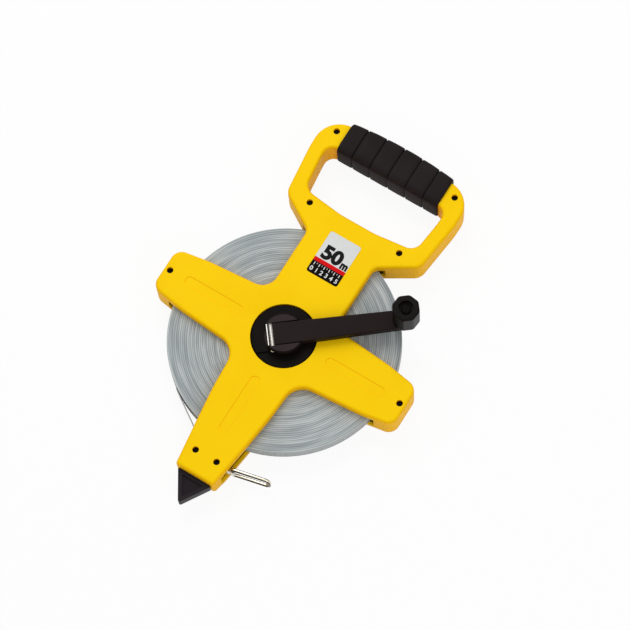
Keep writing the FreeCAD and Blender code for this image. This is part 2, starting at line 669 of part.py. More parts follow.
def make_knob():
    """Eight-sided handle that turns on its stud."""
    body = new_body("knob")
    sides, side_round, top_round, recess = 8, 4.4, 1.6, 6.5
    step = 360 / sides
    corner = size("knob_half") / math.cos(math.pi / sides)
    pad(body, loop([(*polar(corner, step * (k + 0.5)), side_round) for k in range(sides)]),
        repr(KNOB_LOW), "{knob_tall}")
    round_edges(body, repr(top_round), lies_at(KNOB_TOP))
    pocket(body, [circle(0, 0, recess)], repr(KNOB_TOP), repr(KNOB_RECESS))
    pocket(body, [circle(0, 0, size("stud_radius") + size("run_gap"))],
           repr(KNOB_TOP), "2 * {knob_tall}")
    body.Placement = FreeCAD.Placement(
        vec(*KNOB_AT), FreeCAD.Rotation(vec(0, 0, 1), size("crank_angle")))


# ---------------------------------------------------------------- tape end
def tape_path():
    """Tangent from the wound tape to the roller, and the way out of the mouth."""
    half = size("tape_thick") / 2
    big, small = size("tape_outer") + SOFT_GAP + half, size("roller_radius") + SOFT_GAP + half
    roller = vec(size("leg_screw_x"), -size("leg_screw_y"))
    normal_angle = math.atan2(roller.y, roller.x) + math.acos((small - big) / roller.Length)
    normal = vec(math.cos(normal_angle), math.sin(normal_angle))
    leave, meet = normal * -big, roller - normal * small
    rise = 2.6                    # of the mouth above the roller's axis
    mouth = vec(size("mouth_x"), -size("leg_screw_y") + rise) - roller
    exit_angle = math.atan2(mouth.y, mouth.x) + math.asin(small / mouth.Length)
    outward = vec(math.sin(exit_angle), -math.cos(exit_angle))
    return leave, meet, roller, small, roller + outward * small, exit_angle


def make_lead():
    """The tape on its way from the reel, under the roller, to the mouth."""
    leave, meet, roller, radius, out, angle = tape_path()
    bottom = roller + (meet + out - roller * 2).normalize() * radius
    half = size("tape_thick") / 2
    side = (meet - leave).normalize()
    across_tape = vec(-side.y, side.x) * half
    out_side = (out - roller).normalize() * half
    mid_side = (bottom - roller).normalize() * half
    body = new_body("tape_lead")
    pad(body, [
        Part.LineSegment(leave + across_tape, meet + across_tape),
        Part.Arc(meet + across_tape, bottom - mid_side, out - out_side),
        Part.LineSegment(out - out_side, out + out_side),
        Part.Arc(out + out_side, bottom + mid_side, meet - across_tape),
        Part.LineSegment(meet - across_tape, leave - across_tape),
        Part.LineSegment(leave - across_tape, leave + across_tape)],
        repr(TAPE_LOW), "{tape_width}")


def straight_piece(label, start, angle, outline, low, tall):
    """Piece drawn along +X from a start point and turned to the tape's exit angle."""
    body = new_body(label)
    pad(body, outline, low, tall)
    body.Placement = FreeCAD.Placement(start, FreeCAD.Rotation(vec(0, 0, 1), math.degrees(angle)))
    return body


def make_tape_end():
    leave, meet, roller, radius, out, angle = tape_path()
    half = size("tape_thick") / 2
    run = (hinge_point() - out).Length - EYE_RADIUS - CLIP_LONG + 1.5
    straight_piece("tape_run", out, angle, loop([
        (0, -half, 0), (run, -half, 0), (run, half, 0), (0, half, 0)]),
        repr(TAPE_LOW), "{tape_width}")
    eye = (hinge_point() - out).Length
    start = eye - EYE_RADIUS - CLIP_LONG
    clip = straight_piece("tape_clip", out, angle, loop([
        (start, -CLIP_HALF, 0), (eye, -CLIP_HALF, 0), (eye, CLIP_HALF, 0), (start, CLIP_HALF, 0)]),
        "{frame_depth} / 2 - " + repr(EYE_TALL / 2), repr(EYE_TALL))
    pad(clip, loop([(start, -CLIP_HALF, 0), (start + CLIP_LONG - 1, -CLIP_HALF, 0),
                    (start + CLIP_LONG - 1, CLIP_HALF, 0), (start, CLIP_HALF, 0)]),
        repr(TAPE_LOW), "{tape_width}")
    pad(clip, [circle(eye, 0, EYE_RADIUS)],
        "{frame_depth} / 2 - " + repr(EYE_TALL / 2), repr(EYE_TALL))
    pocket(clip, [circle(eye, 0, size("wire_radius") + size("run_gap"))],
           "{frame_depth}", "2 * {frame_depth}")
    pocket(clip, loop([(start - 1, -half, 0), (run, -half, 0), (run, half, 0),
                       (start - 1, half, 0)]), "{frame_depth}", "2 * {frame_depth}")


def hinge_point():
    """Axis of the end ring, on the tape's line just outside the mouth."""
    leave, meet, roller, radius, out, angle = tape_path()
    along = (size("mouth_x") - out.x) / math.cos(angle)
    return out + vec(math.cos(angle), math.sin(angle)) * along


def make_ring():
    """Wire loop that hooks over a nail; its end bar turns in the clip's eye."""
    body = new_body("end_ring")
    wire = size("wire_radius")
    half, far = size("ring_wide") / 2 - wire, size("ring_long") - wire
    bend = 2.2
    spine = sketch_on(body, loop([
        (0, 0, 0), (0, half - bend, 0), (bend, half, 0), (far - bend, half, 0),
        (far, half - bend, 0), (far, bend - half, 0), (far - bend, -half, 0),
        (bend, -half, 0), (0, bend - half, 0)]), role="XZ_Plane")
    sweep = body.newObject("PartDesign::AdditivePipe", "ring_wire")
    sweep.Profile = sketch_on(body, [circle(0, 0, wire)])
    sweep.Spine = spine
    sweep.Transition = "Right corner"
    at = hinge_point()
    body.Placement = FreeCAD.Placement(
        vec(at.x, at.y, MIDDLE), FreeCAD.Rotation(vec(0, 0, 1), size("ring_angle")))


def make_roller():
    """Guide roller for the tape, free to turn on the right leg spacer."""
    at = vec(size("leg_screw_x"), -size("leg_screw_y"))
    body = new_body("guide_roller")
    inner = SPACER_RADIUS + size("run_gap")
    outer = size("roller_radius")
    low, high = WELL_LOW_Z + SOFT_GAP, WELL_TOP_Z - SOFT_GAP
    turned(body, [(inner, low), (outer, low), (outer, high), (inner, high)])
    body.Placement = FreeCAD.Placement(at, FreeCAD.Rotation())


def make_spacers():
    """Tubes round the two leg screws, which hold the halves apart at the throat."""
    tubes = []
    for side in (-1, 1):
        at = (side * size("leg_screw_x"), -size("leg_screw_y"))
        tall = repr(WELL_TOP_Z - WELL_LOW_Z)
        outer = rod("spacer_outside", repr(SPACER_RADIUS), tall, at, WELL_LOW_Z)
        inner = rod("spacer_inside", "{screw_shank} + " + repr(FIT), tall, at, WELL_LOW_Z)
        tube = doc.addObject("Part::Cut", "spacer")
        tube.Base, tube.Tool = outer, inner
        tubes.append(tube)
    group("leg_spacers", tubes)


MAKERS = [
    make_front_shell, make_rear_shell, make_grip, make_tip, make_label, make_frame_screws,
    make_spindle, make_spindle_screw, make_rear_cap, make_drum, make_bush, make_wound_tape,
    make_hub_screws, make_hub, make_pin, make_spring, make_arm, make_stud, make_knob,
    make_lead, make_tape_end, make_ring, make_roller, make_spacers,
]
for make in MAKERS:
    make()
make_washer("front_washer", size("spindle_radius") - 2.8, BUSH_RADIUS + 2, WASHER_LOW, WASHER_THICK)
make_washer("rear_washer", size("spindle_radius") + FIT, BUSH_RADIUS + 3,
            WELL_LOW_Z + BOSS_PROUD, TAPE_LOW - WELL_LOW_Z - BOSS_PROUD - 0.1)
doc.recompute()

for item in doc.Objects:
    if {"Invalid", "Error"} & set(item.State):
        raise RuntimeError("failed object: " + item.Label)
for item in SUBPARTS:
    if item.Shape.isNull() or not item.Shape.isValid():
        raise RuntimeError("bad shape: " + item.Label)
    item.Shape.exportStep("parts/%s.step" % item.Label)
    box = item.Shape.BoundBox
    print("%-18s solids %d volume %9.1f  z %.2f to %.2f" % (
        item.Label, len(item.Shape.Solids), item.Shape.Volume, box.ZMin, box.ZMax))
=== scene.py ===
import json
import math
import bmesh
import bpy
from mathutils import Matrix, Vector


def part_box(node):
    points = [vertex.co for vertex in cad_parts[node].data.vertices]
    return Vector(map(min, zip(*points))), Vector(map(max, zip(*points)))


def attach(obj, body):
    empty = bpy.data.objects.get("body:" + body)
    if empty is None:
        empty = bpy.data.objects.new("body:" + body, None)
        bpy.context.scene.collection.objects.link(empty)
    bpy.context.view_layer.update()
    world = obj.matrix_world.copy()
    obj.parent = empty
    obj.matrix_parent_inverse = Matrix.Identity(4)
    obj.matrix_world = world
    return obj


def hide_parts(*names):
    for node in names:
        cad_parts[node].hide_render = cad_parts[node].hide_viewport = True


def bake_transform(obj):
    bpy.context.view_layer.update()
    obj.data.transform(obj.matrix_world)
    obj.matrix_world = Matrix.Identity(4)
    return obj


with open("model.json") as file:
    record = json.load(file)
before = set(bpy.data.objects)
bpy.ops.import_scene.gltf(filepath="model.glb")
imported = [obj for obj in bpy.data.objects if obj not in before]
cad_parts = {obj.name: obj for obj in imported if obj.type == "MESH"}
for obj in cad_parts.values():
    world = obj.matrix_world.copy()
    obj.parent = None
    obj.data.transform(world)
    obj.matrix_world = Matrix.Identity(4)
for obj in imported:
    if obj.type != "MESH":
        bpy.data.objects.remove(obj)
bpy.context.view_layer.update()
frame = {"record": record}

MM = 0.001
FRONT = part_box("front_frame_shell")[1][2]          # height of the frame's front face
TAPE_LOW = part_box("wound_tape")[0][2]
TAPE_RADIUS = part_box("wound_tape")[1][0]
CAP_RADIUS = 16.4 * MM                             # lighter middle of the crank hub
JOINTS = {joint["name"]: joint for joint in frame["record"]["behaviour"]["joints"]}
HINGE = Vector(JOINTS["ring_swing"]["pos_m"])      # a point on the end ring's axis
PULL = Vector(JOINTS["tape_pull"]["axis"])         # the way the free tape leaves
RING_LOW, RING_HIGH = (Vector(corner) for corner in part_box("end_ring"))
RING_TURN = math.atan2(RING_HIGH.y - HINGE.y, RING_HIGH.x - HINGE.x)      # its direction


# ------------------------------------------------------------------ node helpers
MIX_SHARE, MIX_BELOW, MIX_ABOVE, MIX_RESULT = 0, 6, 7, 2     # sockets of a colour mix


class Shader:
    """A small wrapper that makes node trees readable."""

    def __init__(self, name):
        self.material = bpy.data.materials.new(name)
        self.material.use_nodes = True
        self.tree = self.material.node_tree
        self.surface = self.tree.nodes["Principled BSDF"]
        self.place = self.add("ShaderNodeTexCoord").outputs["Object"]

    def add(self, kind, **settings):
        node = self.tree.nodes.new(kind)
        for key, value in settings.items():
            setattr(node, key, value)
        return node

    def link(self, source, target):
        self.tree.links.new(source, target)

    def noise(self, scale, detail=3.0, rough=0.5, vector=None):
        node = self.add("ShaderNodeTexNoise")
        node.inputs["Scale"].default_value = scale
        node.inputs["Detail"].default_value = detail
        node.inputs["Roughness"].default_value = rough
        self.link(vector or self.place, node.inputs["Vector"])
        return node.outputs["Fac"]

    def math(self, operation, a, b=None):
        node = self.add("ShaderNodeMath", operation=operation)
        for socket, value in zip(node.inputs, (a, b)):
            if value is None:
                continue
            if isinstance(value, (int, float)):
                socket.default_value = value
            else:
                self.link(value, socket)
        return node.outputs[0]

    def spread(self, value, low, high):
        """Map 0..1 to low..high."""
        node = self.add("ShaderNodeMapRange")
        node.inputs["To Min"].default_value = low
        node.inputs["To Max"].default_value = high
        self.link(value, node.inputs["Value"])
        return node.outputs["Result"]

    def ramp(self, value, stops):
        node = self.add("ShaderNodeValToRGB")
        while len(node.color_ramp.elements) < len(stops):
            node.color_ramp.elements.new(0.5)
        for element, (position, colour) in zip(node.color_ramp.elements, stops):
            element.position = position
            element.color = (*colour, 1.0)
        self.link(value, node.inputs["Fac"])
        return node.outputs["Color"]

    def bump(self, height, strength, distance, below=None):
        node = self.add("ShaderNodeBump")
        node.inputs["Strength"].default_value = strength
        node.inputs["Distance"].default_value = distance
        self.link(height, node.inputs["Height"])
        if below is not None:
            self.link(below, node.inputs["Normal"])
        return node.outputs["Normal"]

    def split(self, axis):
        """One coordinate of the surface point."""
        node = self.add("ShaderNodeSeparateXYZ")
        self.link(self.place, node.inputs[0])
        return node.outputs[axis]

    def facing(self, axis):
        """One part of the surface direction, in the piece's own space."""
        node = self.add("ShaderNodeSeparateXYZ")
        self.link(self.add("ShaderNodeTexCoord").outputs["Normal"], node.inputs[0])
        return node.outputs[axis]

    def mix(self, share, below, above):
        """Lay one colour over another by a share of 0..1."""
        node = self.add("ShaderNodeMix", data_type="RGBA")
        self.link(share, node.inputs[MIX_SHARE])
        for index, colour in ((MIX_BELOW, below), (MIX_ABOVE, above)):
            if isinstance(colour, tuple):
                node.inputs[index].default_value = (*colour, 1.0)
            else:
                self.link(colour, node.inputs[index])
        return node.outputs[MIX_RESULT]

    def stretched(self, scale, detail):
        """Noise drawn out by its own scale along each axis."""
        node = self.add("ShaderNodeMapping")
        node.inputs["Scale"].default_value = scale
        self.link(self.place, node.inputs["Vector"])
        return self.noise(1.0, detail, 0.6, node.outputs["Vector"])

    def total(self, *terms):
        """Sum of (value, weight) pairs."""
        parts = [self.math("MULTIPLY", value, weight) for value, weight in terms]
        result = parts[0]
        for part in parts[1:]:
            result = self.math("ADD", result, part)
        return result

    def finish(self, colour, rough, normal, metallic=0.0, specular=0.5):
        self.link(colour, self.surface.inputs["Base Color"])
        self.link(rough, self.surface.inputs["Roughness"])
        self.link(normal, self.surface.inputs["Normal"])
        self.surface.inputs["Metallic"].default_value = metallic
        self.surface.inputs["Specular IOR Level"].default_value = specular
        return self.material


# ------------------------------------------------------------------ materials
# Noise scales are in cycles per metre.
DRIFT, CAP_DRIFT, CLOUD = 28.0, 30.0, 18.0         # slow changes of colour
SINK, SCUFF = 60.0, 260.0                          # soft waves and faint handling marks
METAL_CLOUD, WIRE_WANDER = 150.0, 420.0
ENAMEL_GRAIN, INK_MOTTLE = 700.0, 900.0
HUB_GRAIN, TIP_GRAIN = 2200.0, 1800.0
RAMP_LOW, RAMP_HIGH = 0.3, 0.7                     # where a two-colour ramp ends
GRAIN_DEPTH, METAL_DEPTH, PRINT_DEPTH = 0.06 * MM, 0.04 * MM, 0.02 * MM
SINK_DEPTH, TURN_DEPTH = 0.6 * MM, 0.16 * MM


def scaled(colour, factor):
    """A colour made lighter or darker."""
    return tuple(factor * channel for channel in colour)


def two_tone(s, value, dark, light):
    """Drift between two shades of one colour."""
    return s.ramp(value, [(RAMP_LOW, dark), (RAMP_HIGH, light)])


def moulded_plastic(name, dark, light, rough, grain, relief, specular, sides=None):
    """Injection moulded plastic: slow colour drift, fine spark-eroded grain.

    Steep faces, the side walls and rounded edges, can get a painted shade: a deeper, more orange
    colour than the faces.
    """
    s = Shader(name)
    fine = s.noise(grain, detail=2.0, rough=0.6)
    scuff = s.noise(SCUFF, detail=6.0, rough=0.7)
    colour = two_tone(s, s.noise(DRIFT), dark, light)
    if sides:
        # painted shade: steep faces take the more orange side colour, fully where the normal's z
        # part is under 0.5
        wall = s.spread(s.math("ABSOLUTE", s.facing("Z")), 2.0, 0.0)
        colour = s.mix(wall, colour, sides)
    roughness = s.math("ADD", s.spread(scuff, rough - 0.06, rough + 0.06),
                       s.spread(fine, -0.03, 0.03))
    soft = s.bump(s.noise(SINK, detail=1.0), 0.12, SINK_DEPTH)
    normal = s.bump(fine, relief, GRAIN_DEPTH, soft)
    return s.finish(colour, roughness, normal, specular=specular)


def bright_steel(name, base, rough, metallic=1.0):
    """Plated steel with fine drawn streaks."""
    s = Shader(name)
    lines = s.stretched((900.0, 900.0, 60.0), detail=4.0)
    mixed = s.total((lines, 0.7), (s.noise(METAL_CLOUD, detail=4.0), 0.3))
    colour = s.ramp(mixed, [(0.40, scaled(base, 0.86)), (0.58, base)])
    roughness = s.spread(lines, rough - 0.07, rough + 0.09)
    return s.finish(colour, roughness, s.bump(lines, 0.25, METAL_DEPTH), metallic=metallic)


def ring_wire(name, base, dark, turn):
    """Plated wire with a painted reflection: each bar is painted near-black where it faces out of
    the loop's plane and bright where it faces along it.
    """
    s = Shader(name)
    flank = s.add("ShaderNodeVectorMath", operation="DOT_PRODUCT")
    s.link(s.add("ShaderNodeTexCoord").outputs["Normal"], flank.inputs[0])
    flank.inputs[1].default_value = (-math.sin(turn), math.cos(turn), 0.0)
    wander = s.noise(WIRE_WANDER)
    level = s.math("ADD", s.math("ABSOLUTE", flank.outputs["Value"]),
                   s.math("MULTIPLY", s.math("SUBTRACT", wander, 0.5), 0.5))
    # painted reflection: the bright base turns near-black as the wire faces out of the loop's
    # plane
    colour = s.ramp(level, [(0.30, base), (0.55, dark)])
    roughness = s.spread(wander, 0.12, 0.30)
    return s.finish(colour, roughness, s.bump(wander, 0.2, METAL_DEPTH), metallic=1.0)


def hub_plastic(name, outer, inner, edge):
    """Near-black rim round a lighter cap of the given radius."""
    s = Shader(name)
    radius, angle = polar_place(s)
    fine, drift = s.noise(HUB_GRAIN, detail=2.0, rough=0.6), s.noise(CAP_DRIFT)
    lathe = ring_noise(s, radius, angle, pitch=0.5 * MM, drift=2.0, detail=1.0)
    cap = s.math("LESS_THAN", radius, edge)
    rim = two_tone(s, drift, outer, scaled(outer, 1.6))
    middle = two_tone(s, drift, inner, scaled(inner, 1.3))
    return s.finish(s.mix(cap, rim, middle), s.spread(lathe, 0.40, 0.52),
                    s.bump(fine, 0.2, GRAIN_DEPTH), specular=0.05)


def tip_plastic(name, dark, light, panel):
    """Hard plastic with painted shade: level faces sunk in the recessed panels get a darker
    colour.
    """
    s = Shader(name)
    low, high = (corner[2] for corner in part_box("ground_tip"))
    recess = 0.7 * MM                              # a face sunk deeper than this is a panel
    level = s.math("GREATER_THAN", s.math("ABSOLUTE", s.facing("Z")), 0.9)
    off_middle = s.math("ABSOLUTE", s.math("SUBTRACT", s.split("Z"), (low + high) / 2))
    sunk = s.math("LESS_THAN", off_middle, (high - low) / 2 - recess)
    fine = s.noise(TIP_GRAIN, detail=2.0, rough=0.6)
    skin = two_tone(s, s.noise(DRIFT), dark, light)
    # painted shade: level faces sunk in the recessed panels take the darker panel colour
    colour = s.mix(s.math("MULTIPLY", level, sunk), skin, panel)
    return s.finish(colour, s.spread(fine, 0.36, 0.48), s.bump(fine, 0.3, GRAIN_DEPTH),
                    specular=0.09)


def polar_place(s):
    """Radius and angle of the surface point about the reel's axis."""
    x, y = s.split("X"), s.split("Y")
    radius = s.math("SQRT", s.math("ADD", s.math("MULTIPLY", x, x), s.math("MULTIPLY", y, y)))
    return radius, s.math("ARCTAN2", y, x)


def ring_noise(s, radius, angle, pitch, drift, detail):
    """Noise that varies quickly along the radius and slowly round the reel."""
    joined = s.add("ShaderNodeCombineXYZ")
    s.link(s.math("MULTIPLY", radius, 1.0 / pitch), joined.inputs["X"])
    s.link(s.math("MULTIPLY", s.math("SINE", angle), drift), joined.inputs["Y"])
    s.link(s.math("MULTIPLY", s.math("COSINE", angle), drift), joined.inputs["Z"])
    return s.noise(1.0, detail, vector=joined.outputs["Vector"])


def marks_each(s, distance, height, per_metre, share, tall):
    """Upright marks at a regular step, as wide as a share of it."""
    across = s.math("LESS_THAN", s.math("FRACT", s.math("MULTIPLY", distance, per_metre)), share)
    return s.math("MULTIPLY", across, s.math("LESS_THAN", height, tall))


def graduated(s, grain, distance, light, ink):
    """Enamel with a mark at each millimetre and a longer one each centimetre."""
    height = s.math("SUBTRACT", s.split("Z"), TAPE_LOW)
    each_mm = marks_each(s, distance, height, per_metre=1000.0, share=0.22, tall=3.2 * MM)
    each_cm = marks_each(s, distance, height, per_metre=100.0, share=0.04, tall=7.5 * MM)
    marks = s.math("MAXIMUM", each_mm, each_cm)
    return s.mix(marks, two_tone(s, grain, scaled(light, 0.87), light), ink)


def tape_edges(name):
    """The pack: the coated edges of many turns at its sides, the last turn's face outside."""
    s = Shader(name)
    radius, angle = polar_place(s)
    line_pitch = 1.70 * MM
    turns = ring_noise(s, radius, angle, pitch=0.42 * MM, drift=0.8, detail=1.0)
    layers = ring_noise(s, radius, angle, pitch=5.0 * MM, drift=0.5, detail=2.0)
    dashes = ring_noise(s, radius, angle, pitch=2.2 * MM, drift=2.2, detail=2.0)
    phase = s.total((radius, math.pi / line_pitch), (layers, 3.0))
    line = s.math("POWER", s.math("ABSOLUTE", s.math("SINE", phase)), 2.0)
    rings = s.math("MULTIPLY", line, s.spread(dashes, -0.25, -0.08))
    cloud = s.noise(CLOUD, detail=2.0)
    mixed = s.total((turns, 0.34), (layers, 0.22), (cloud, 0.14), (dashes, 0.36))
    mixed = s.math("ADD", mixed, rings)
    colour = s.ramp(mixed, [(0.22, (0.150, 0.174, 0.184)), (0.36, (0.258, 0.290, 0.300)),
                            (0.46, (0.345, 0.382, 0.389)), (0.62, (0.560, 0.597, 0.597))])
    outer = graduated(s, s.noise(ENAMEL_GRAIN), s.math("MULTIPLY", angle, TAPE_RADIUS),
                      (0.44, 0.47, 0.47), (0.25, 0.27, 0.27))
    upright = s.math("LESS_THAN", s.math("ABSOLUTE", s.facing("Z")), 0.5)
    return s.finish(s.mix(upright, colour, outer), s.spread(layers, 0.42, 0.6),
                    s.bump(turns, 0.6, TURN_DEPTH), specular=0.3)


def tape_face(name, along):
    """Coated face of the free tape, marked along its run."""
    s = Shader(name)
    distance = s.total((s.split("X"), along.x), (s.split("Y"), along.y))
    grain = s.noise(ENAMEL_GRAIN)
    marked = graduated(s, grain, distance, (0.72, 0.73, 0.70), (0.02, 0.02, 0.02))
    cut_edge = s.math("GREATER_THAN", s.math("ABSOLUTE", s.facing("Z")), 0.5)
    colour = s.mix(cut_edge, marked, (0.12, 0.125, 0.12))
    return s.finish(colour, s.spread(grain, 0.34, 0.46), s.bump(grain, 0.1, PRINT_DEPTH),
                    specular=0.3)


def printed(name, ink):
    """A flat printed ink with slight mottle."""
    s = Shader(name)
    mottle = s.noise(INK_MOTTLE)
    colour = two_tone(s, mottle, scaled(ink, 0.88), ink)
    return s.finish(colour, s.spread(mottle, 0.45, 0.55), s.bump(mottle, 0.08, PRINT_DEPTH),
                    specular=0.08)


def label_foil(name, red_from, red_to):
    """Printed plate: satin silver above, a red stripe, and a black panel below."""
    s = Shader(name)
    red, black = (0.68, 0.008, 0.010), (0.0035, 0.0028, 0.0028)
    lines = s.stretched((120.0, 2400.0, 1.0), detail=3.0)
    silver = two_tone(s, lines, (0.66, 0.675, 0.665), (0.76, 0.775, 0.765))
    colour = s.mix(s.math("LESS_THAN", s.split("Y"), red_to), silver, red)
    colour = s.mix(s.math("LESS_THAN", s.split("Y"), red_from), colour, black)
    return s.finish(colour, s.spread(lines, 0.42, 0.52), s.bump(lines, 0.06, PRINT_DEPTH),
                    specular=0.03)


# sides: a more orange yellow painted on the side walls and rounded edges as their shade
YELLOW = moulded_plastic("yellow_abs", (0.980, 0.620, 0.0020), (1.0, 0.650, 0.0032),
                         rough=0.42, grain=2600.0, relief=0.20, specular=0.03,
                         sides=(1.0, 0.530, 0.0015))
BLACK = moulded_plastic("black_nylon", (0.0085, 0.0045, 0.0040), (0.0130, 0.0072, 0.0066),
                        rough=0.44, grain=2200.0, relief=0.35, specular=0.075)
KNOB_BLACK = moulded_plastic("knob_nylon", (0.0040, 0.0025, 0.0024), (0.0070, 0.0046, 0.0044),
                             rough=0.36, grain=2200.0, relief=0.2, specular=0.06)
HUB_BLACK = hub_plastic("hub_nylon", (0.0032, 0.0018, 0.0018), (0.0290, 0.0195, 0.0200),
                        CAP_RADIUS)
RUBBER = moulded_plastic("grip_rubber", (0.0150, 0.0112, 0.0115), (0.0215, 0.0165, 0.0170),
                         rough=0.52, grain=1500.0, relief=0.6, specular=0.03)
# panel: a darker black painted into the recessed panels as their shade
TIP_BLACK = tip_plastic("tip_plastic", (0.0125, 0.0088, 0.0115), (0.0190, 0.0140, 0.0175),
                        panel=(0.0100, 0.0072, 0.0100))
DRUM = moulded_plastic("drum_nylon", (0.10, 0.10, 0.105), (0.14, 0.14, 0.145),
                       rough=0.5, grain=1600.0, relief=0.3, specular=0.4)
SCREW = moulded_plastic("black_oxide", (0.0022, 0.0014, 0.0012), (0.0040, 0.0028, 0.0026),
                        rough=0.45, grain=3000.0, relief=0.2, specular=0.04)
STEEL = bright_steel("bright_steel", (0.66, 0.62, 0.55), rough=0.16)
PIN_STEEL = bright_steel("ground_pin", (0.94, 0.90, 0.82), rough=0.5, metallic=0.35)
BRONZE = bright_steel("sintered_bronze", (0.55, 0.38, 0.20), rough=0.42)
# the ring's wire carries a painted reflection: near-black flanks, bright top and bottom
WIRE_PAINTED_REFLECTION = ring_wire("ring_wire", (0.80, 0.73, 0.58), (0.020, 0.014, 0.008), RING_TURN)
EDGES = tape_edges("tape_edges")
FACE = tape_face("tape_face", PULL)
BLACK_INK = printed("black_ink", (0.003, 0.0025, 0.0025))
WHITE_INK = printed("white_ink", (0.80, 0.80, 0.78))

CARRIED = {
    YELLOW: ["front_frame_shell", "rear_frame_shell"],
    RUBBER: ["handle_grip"],
    TIP_BLACK: ["ground_tip"],
    HUB_BLACK: ["crank_hub", "rear_hub_cap"],
    BLACK: ["crank_arm"],
    KNOB_BLACK: ["knob"],
    DRUM: ["drum_core"],
    STEEL: ["spindle", "spindle_screw", "front_washer", "guide_roller", "leg_spacers",
            "tape_clip", "end_ring"],
    PIN_STEEL: ["hinge_pin", "crank_spring"],
    BRONZE: ["rear_washer", "drum_bush"],
    SCREW: ["frame_screws", "hub_screws", "knob_stud"],
    EDGES: ["wound_tape"],
    FACE: ["tape_lead", "tape_run"],
}


def dress(node, material):
    """Give a CAD node its finish; its mesh and place stay as they are."""
    for slot in bpy.data.objects[node].material_slots:
        slot.link = "OBJECT"
        slot.material = material


for material, nodes in CARRIED.items():
    for node in nodes:
        dress(node, material)


# ------------------------------------------------------------------ mesh helpers
CORNER_STEPS, GRIP_STEPS = 8, 6                    # facets of a rounded corner
WIRE_SIDES = 14
TEXT_STEPS = 12                                    # of each curve in a letter


def mesh_piece(name, build, material, body):
    """Make one mesh piece with bmesh, give it its material and let it ride a body, if any."""
    mesh = bpy.data.meshes.new(name)
    form = bmesh.new()
    build(form)
    bmesh.ops.recalc_face_normals(form, faces=form.faces)
    form.to_mesh(mesh)
    form.free()
    mesh.materials.append(material)
    piece = bpy.data.objects.new(name, mesh)
    bpy.context.collection.objects.link(piece)
    if body:
        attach(piece, body)
    return piece


def loft(form, rings, closed=False):
    """Skin a list of equal rings of vertices."""
    count = len(rings[0])
    pairs = list(zip(rings, rings[1:])) + ([(rings[-1], rings[0])] if closed else [])
    for near, far in pairs:
        for k in range(count):
            n = (k + 1) % count
            form.faces.new((near[k], near[n], far[n], far[k]))


def add_prism(form, outline, low, high):
    """Closed prism over a flat outline of (x, y) points."""
    below = [form.verts.new((x, y, low)) for x, y in outline]
    above = [form.verts.new((x, y, high)) for x, y in outline]
    form.faces.new(below[::-1])
    form.faces.new(above)
    loft(form, [below, above])


def rounded_outline(corners, steps):
    """Outline of a rectangle from its (x, y, radius) corners, each rounded in some steps.

    The corners start at the top right and go round anticlockwise; x and y are the centres.
    """
    outline = []
    for quarter, (x, y, radius) in enumerate(corners):
        for k in range(steps + 1):
            turn = math.radians(90 * (quarter + k / steps))
            outline.append((x + radius * math.cos(turn), y + radius * math.sin(turn)))
    return outline


def shade_smooth(piece):
    for polygon in piece.data.polygons:
        polygon.use_smooth = True


# ------------------------------------------------------------------ label
LABEL_LOW, LABEL_TOP = (Vector(corner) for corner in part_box("length_label"))
LABEL_MIDDLE = (LABEL_LOW.x + LABEL_TOP.x) / 2
LABEL_SKIN = 0.05 * MM                             # print above, and below, the plate's face
RED_FROM, RED_TO = LABEL_LOW.y + 11.4 * MM, LABEL_LOW.y + 15.0 * MM      # the red stripe
DIGITS, DIGIT_STEP = 6, 4.9 * MM
SCALE_START = LABEL_LOW.x + 2.9 * MM               # first digit and first tick


def make_label_plate():
    """Thin plate with round corners and a softened upper rim."""
    corner, soft_rim, slack = 2 * MM, 0.1 * MM, 1e-7
    left, right = LABEL_LOW.x + corner, LABEL_TOP.x - corner
    bottom, top = LABEL_LOW.y + corner, LABEL_TOP.y - corner
    outline = rounded_outline([(right, top, corner), (left, top, corner),
                               (left, bottom, corner), (right, bottom, corner)], CORNER_STEPS)

    def build(form):
        add_prism(form, outline, LABEL_LOW.z, LABEL_TOP.z)
        rim = [e for e in form.edges if all(v.co.z > LABEL_TOP.z - slack for v in e.verts)]
        bmesh.ops.bevel(form, geom=rim, offset=soft_rim, segments=2, affect="EDGES")
    plate = mesh_piece("label_plate", build, label_foil("label_foil", RED_FROM, RED_TO), "frame")
    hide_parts("length_label")


def make_scale():
    """Generic ruler ticks on the black panel: every other one is longer."""
    top = RED_FROM - 0.9 * MM

    def build(form):
        for k in range(2 * DIGITS - 1):
            tall, half = (2.8 * MM, 0.34 * MM) if k % 2 == 0 else (1.4 * MM, 0.2 * MM)
            x = SCALE_START + k * DIGIT_STEP / 2
            add_prism(form, [(x - half, top - tall), (x + half, top - tall),
                             (x + half, top), (x - half, top)],
                      LABEL_TOP.z - LABEL_SKIN, LABEL_TOP.z + LABEL_SKIN)
    piece = mesh_piece("label_scale", build, WHITE_INK, "frame")


def make_text(name, text, size, place, material, bold, squeeze=1.0):
    """Raised print, centred on a place, from Blender's own font, made bold by an offset."""
    data = bpy.data.curves.new(name, "FONT")
    data.body = text
    data.size = size
    data.align_x = "CENTER"
    data.offset = bold
    data.extrude = LABEL_SKIN
    data.resolution_u = TEXT_STEPS
    data.materials.append(material)
    flat = bpy.data.objects.new(name + "_outline", data)
    bpy.context.collection.objects.link(flat)
    mesh = bpy.data.meshes.new_from_object(flat)
    bpy.data.objects.remove(flat)
    mesh.name = name
    for vertex in mesh.vertices:
        vertex.co.x = vertex.co.x * squeeze + place[0]
        vertex.co.y += place[1]
        vertex.co.z += LABEL_TOP.z
    piece = bpy.data.objects.new(name, mesh)
    bpy.context.collection.objects.link(piece)
    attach(piece, "frame")


